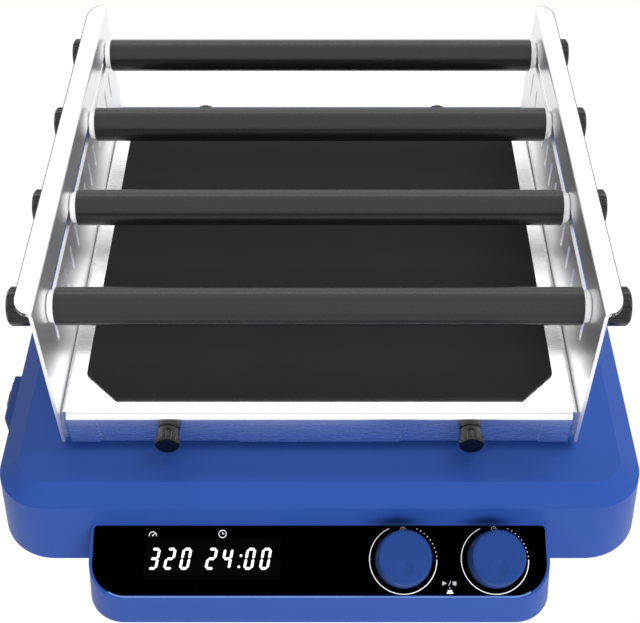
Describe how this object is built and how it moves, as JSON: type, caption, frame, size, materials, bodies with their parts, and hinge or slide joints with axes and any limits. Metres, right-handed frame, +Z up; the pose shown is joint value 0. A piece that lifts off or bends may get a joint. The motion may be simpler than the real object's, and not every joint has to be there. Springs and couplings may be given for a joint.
{
  "type": "orbital shaker",
  "caption": "Low bench shaker with a sloped control nose and a clamp tray that moves in a small circle, with padded clamp bars held in slotted side plates.",
  "frame": {"origin": "on the bench under the drive spindle's axis, the middle of the housing's footprint", "axes": "+X to the right and -Y towards the user at the control nose, +Z up along the drive spindle"},
  "size_m": [0.3856, 0.4205, 0.1835],
  "materials": {
    "housing_blue": "satin",
    "knob_blue": "satin",
    "panel_black": "gloss",
    "display_lens": "gloss",
    "tray_steel": "satin",
    "side_steel": "polished",
    "mat_rubber": "matte",
    "sleeve_rubber": "satin",
    "bar_metal": "satin",
    "knob_black": "satin",
    "foot_rubber": "matte",
    "base_steel": "satin",
    "screw_steel": "satin",
    "switch_black": "satin",
    "inlet_black": "matte",
    "cast_aluminium": "as cast",
    "motor_metal": "satin",
    "shaft_steel": "ground",
    "bearing_steel": "polished",
    "weight_iron": "as cast",
    "belt_rubber": "matte",
    "board_green": "satin",
    "supply_case": "satin"
  },
  "bodies": {
    "root": {"base_plate": "base_steel", "upper_housing": "housing_blue", "control_housing": "housing_blue", "switch_surround": "housing_blue", "panel_overlay": "panel_black", "display_module": "display_lens", "control_board": "board_green", "encoder_bodies": "cast_aluminium", "encoder_nuts": "screw_steel", "rubber_feet": "foot_rubber", "case_screws": "screw_steel", "switch_body": "switch_black", "power_inlet": "inlet_black", "power_supply": "supply_case", "motor_body": "motor_metal", "drive_belt": "belt_rubber", "spindle_housing": "cast_aluminium", "base_bearings": "bearing_steel", "idler_hubs": "cast_aluminium"},
    "motor_rotor": {"motor_shaft": "shaft_steel", "motor_pulley": "cast_aluminium"},
    "crank": {"crankshaft": "shaft_steel", "driven_pulley": "cast_aluminium", "counterweight": "weight_iron"},
    "platform": {"table_plate": "cast_aluminium", "table_bearings": "bearing_steel", "tray_floor": "tray_steel", "side_plate_left": "side_steel", "side_plate_right": "side_steel", "mat": "mat_rubber"},
    "rocker": {"rocker": "switch_black"},
    "idler_1": {"idler_crank_1": "shaft_steel"},
    "idler_2": {"idler_crank_2": "shaft_steel"},
    "idler_3": {"idler_crank_3": "shaft_steel"},
    "idler_4": {"idler_crank_4": "shaft_steel"},
    "bar_1": {"bar_core_1": "bar_metal", "bar_sleeve_1": "sleeve_rubber"},
    "bar_knob_1_left": {"bar_knob_1_left": "knob_black"},
    "bar_knob_1_right": {"bar_knob_1_right": "knob_black"},
    "bar_2": {"bar_core_2": "bar_metal", "bar_sleeve_2": "sleeve_rubber"},
    "bar_knob_2_left": {"bar_knob_2_left": "knob_black"},
    "bar_knob_2_right": {"bar_knob_2_right": "knob_black"},
    "bar_3": {"bar_core_3": "bar_metal", "bar_sleeve_3": "sleeve_rubber"},
    "bar_knob_3_left": {"bar_knob_3_left": "knob_black"},
    "bar_knob_3_right": {"bar_knob_3_right": "knob_black"},
    "bar_4": {"bar_core_4": "bar_metal", "bar_sleeve_4": "sleeve_rubber"},
    "bar_knob_4_left": {"bar_knob_4_left": "knob_black"},
    "bar_knob_4_right": {"bar_knob_4_right": "knob_black"},
    "thumb_screw_front_left": {"thumb_screw_front_left": "knob_black"},
    "thumb_screw_front_right": {"thumb_screw_front_right": "knob_black"},
    "thumb_screw_rear_left": {"thumb_screw_rear_left": "knob_black"},
    "thumb_screw_rear_right": {"thumb_screw_rear_right": "knob_black"},
    "speed_encoder_rotor": {"speed_encoder_rotor": "shaft_steel"},
    "speed_knob": {"speed_knob": "knob_blue"},
    "time_encoder_rotor": {"time_encoder_rotor": "shaft_steel"},
    "time_knob": {"time_knob": "knob_blue"}
  },
  "joints": [
    {"name": "crank_spin", "type": "hinge", "parent": "root", "child": "crank", "pos_m": [0, 0, 0.05], "axis": [0, 0, 1], "continuous": true},
    {"name": "table_orbit", "type": "hinge", "parent": "crank", "child": "platform", "pos_m": [0, -0.005, 0.086], "axis": [0, 0, 1], "continuous": true},
    {"name": "motor_spin", "type": "hinge", "parent": "root", "child": "motor_rotor", "pos_m": [0, 0.09725, 0.05], "axis": [0, 0, 1], "continuous": true},
    {"name": "idler_spin_1", "type": "hinge", "parent": "root", "child": "idler_1", "pos_m": [-0.1, -0.1, 0.06], "axis": [0, 0, 1], "continuous": true},
    {"name": "idler_spin_2", "type": "hinge", "parent": "root", "child": "idler_2", "pos_m": [-0.1, 0.1, 0.06], "axis": [0, 0, 1], "continuous": true},
    {"name": "idler_spin_3", "type": "hinge", "parent": "root", "child": "idler_3", "pos_m": [0.1, -0.1, 0.06], "axis": [0, 0, 1], "continuous": true},
    {"name": "idler_spin_4", "type": "hinge", "parent": "root", "child": "idler_4", "pos_m": [0.1, 0.1, 0.06], "axis": [0, 0, 1], "continuous": true},
    {"name": "bar_slide_1", "type": "slide", "parent": "platform", "child": "bar_1", "axis": [0, 1, 0], "range_m": [-0.003, 0.028]},
    {"name": "bar_knob_1_left_turn", "type": "hinge", "parent": "bar_1", "child": "bar_knob_1_left", "pos_m": [-0.157, -0.1205, 0.159], "axis": [-1, 0, 0], "continuous": true},
    {"name": "bar_knob_1_right_turn", "type": "hinge", "parent": "bar_1", "child": "bar_knob_1_right", "pos_m": [0.157, -0.1205, 0.159], "axis": [1, 0, 0], "continuous": true},
    {"name": "bar_slide_2", "type": "slide", "parent": "platform", "child": "bar_2", "axis": [0, 1, 0], "range_m": [-0.028, 0.028]},
    {"name": "bar_knob_2_left_turn", "type": "hinge", "parent": "bar_2", "child": "bar_knob_2_left", "pos_m": [-0.157, -0.03983, 0.159], "axis": [-1, 0, 0], "continuous": true},
    {"name": "bar_knob_2_right_turn", "type": "hinge", "parent": "bar_2", "child": "bar_knob_2_right", "pos_m": [0.157, -0.03983, 0.159], "axis": [1, 0, 0], "continuous": true},
    {"name": "bar_slide_3", "type": "slide", "parent": "platform", "child": "bar_3", "axis": [0, 1, 0], "range_m": [-0.028, 0.028]},
    {"name": "bar_knob_3_left_turn", "type": "hinge", "parent": "bar_3", "child": "bar_knob_3_left", "pos_m": [-0.157, 0.04003, 0.159], "axis": [-1, 0, 0], "continuous": true},
    {"name": "bar_knob_3_right_turn", "type": "hinge", "parent": "bar_3", "child": "bar_knob_3_right", "pos_m": [0.157, 0.04003, 0.159], "axis": [1, 0, 0], "continuous": true},
    {"name": "bar_slide_4", "type": "slide", "parent": "platform", "child": "bar_4", "axis": [0, 1, 0], "range_m": [-0.028, 0.0025]},
    {"name": "bar_knob_4_left_turn", "type": "hinge", "parent": "bar_4", "child": "bar_knob_4_left", "pos_m": [-0.157, 0.117, 0.159], "axis": [-1, 0, 0], "continuous": true},
    {"name": "bar_knob_4_right_turn", "type": "hinge", "parent": "bar_4", "child": "bar_knob_4_right", "pos_m": [0.157, 0.117, 0.159], "axis": [1, 0, 0], "continuous": true},
    {"name": "thumb_screw_front_left_turn", "type": "hinge", "parent": "platform", "child": "thumb_screw_front_left", "pos_m": [-0.086, -0.155, 0.0864], "axis": [0, -1, 0], "continuous": true},
    {"name": "thumb_screw_front_right_turn", "type": "hinge", "parent": "platform", "child": "thumb_screw_front_right", "pos_m": [0.086, -0.155, 0.0864], "axis": [0, -1, 0], "continuous": true},
    {"name": "thumb_screw_rear_left_turn", "type": "hinge", "parent": "platform", "child": "thumb_screw_rear_left", "pos_m": [-0.086, 0.145, 0.0864], "axis": [0, 1, 0], "continuous": true},
    {"name": "thumb_screw_rear_right_turn", "type": "hinge", "parent": "platform", "child": "thumb_screw_rear_right", "pos_m": [0.086, 0.145, 0.0864], "axis": [0, 1, 0], "continuous": true},
    {"name": "speed_dial_turn", "type": "hinge", "parent": "root", "child": "speed_encoder_rotor", "pos_m": [0.0473, -0.20651, 0.04192], "axis": [0, -0.454, 0.891], "continuous": true},
    {"name": "speed_dial_push", "type": "slide", "parent": "speed_encoder_rotor", "child": "speed_knob", "axis": [0, 0.454, -0.891], "range_m": [0, 0.001], "stiffness_N_per_m": 600, "springref_m": -0.002},
    {"name": "time_dial_turn", "type": "hinge", "parent": "root", "child": "time_encoder_rotor", "pos_m": [0.0991, -0.20651, 0.04192], "axis": [0, -0.454, 0.891], "continuous": true},
    {"name": "time_dial_push", "type": "slide", "parent": "time_encoder_rotor", "child": "time_knob", "axis": [0, 0.454, -0.891], "range_m": [0, 0.001], "stiffness_N_per_m": 600, "springref_m": -0.002},
    {"name": "power_switch", "type": "hinge", "parent": "root", "child": "rocker", "pos_m": [-0.192, -0.097, 0.04], "axis": [0, 0, -1], "range_deg": [0, 12]}
  ],
  "couplings": [
    {"joint": "table_orbit", "follows": "crank_spin", "ratio": -1},
    {"joint": "motor_spin", "follows": "crank_spin", "ratio": 3},
    {"joint": "idler_spin_1", "follows": "crank_spin", "ratio": 1},
    {"joint": "idler_spin_2", "follows": "crank_spin", "ratio": 1},
    {"joint": "idler_spin_3", "follows": "crank_spin", "ratio": 1},
    {"joint": "idler_spin_4", "follows": "crank_spin", "ratio": 1}
  ]
}
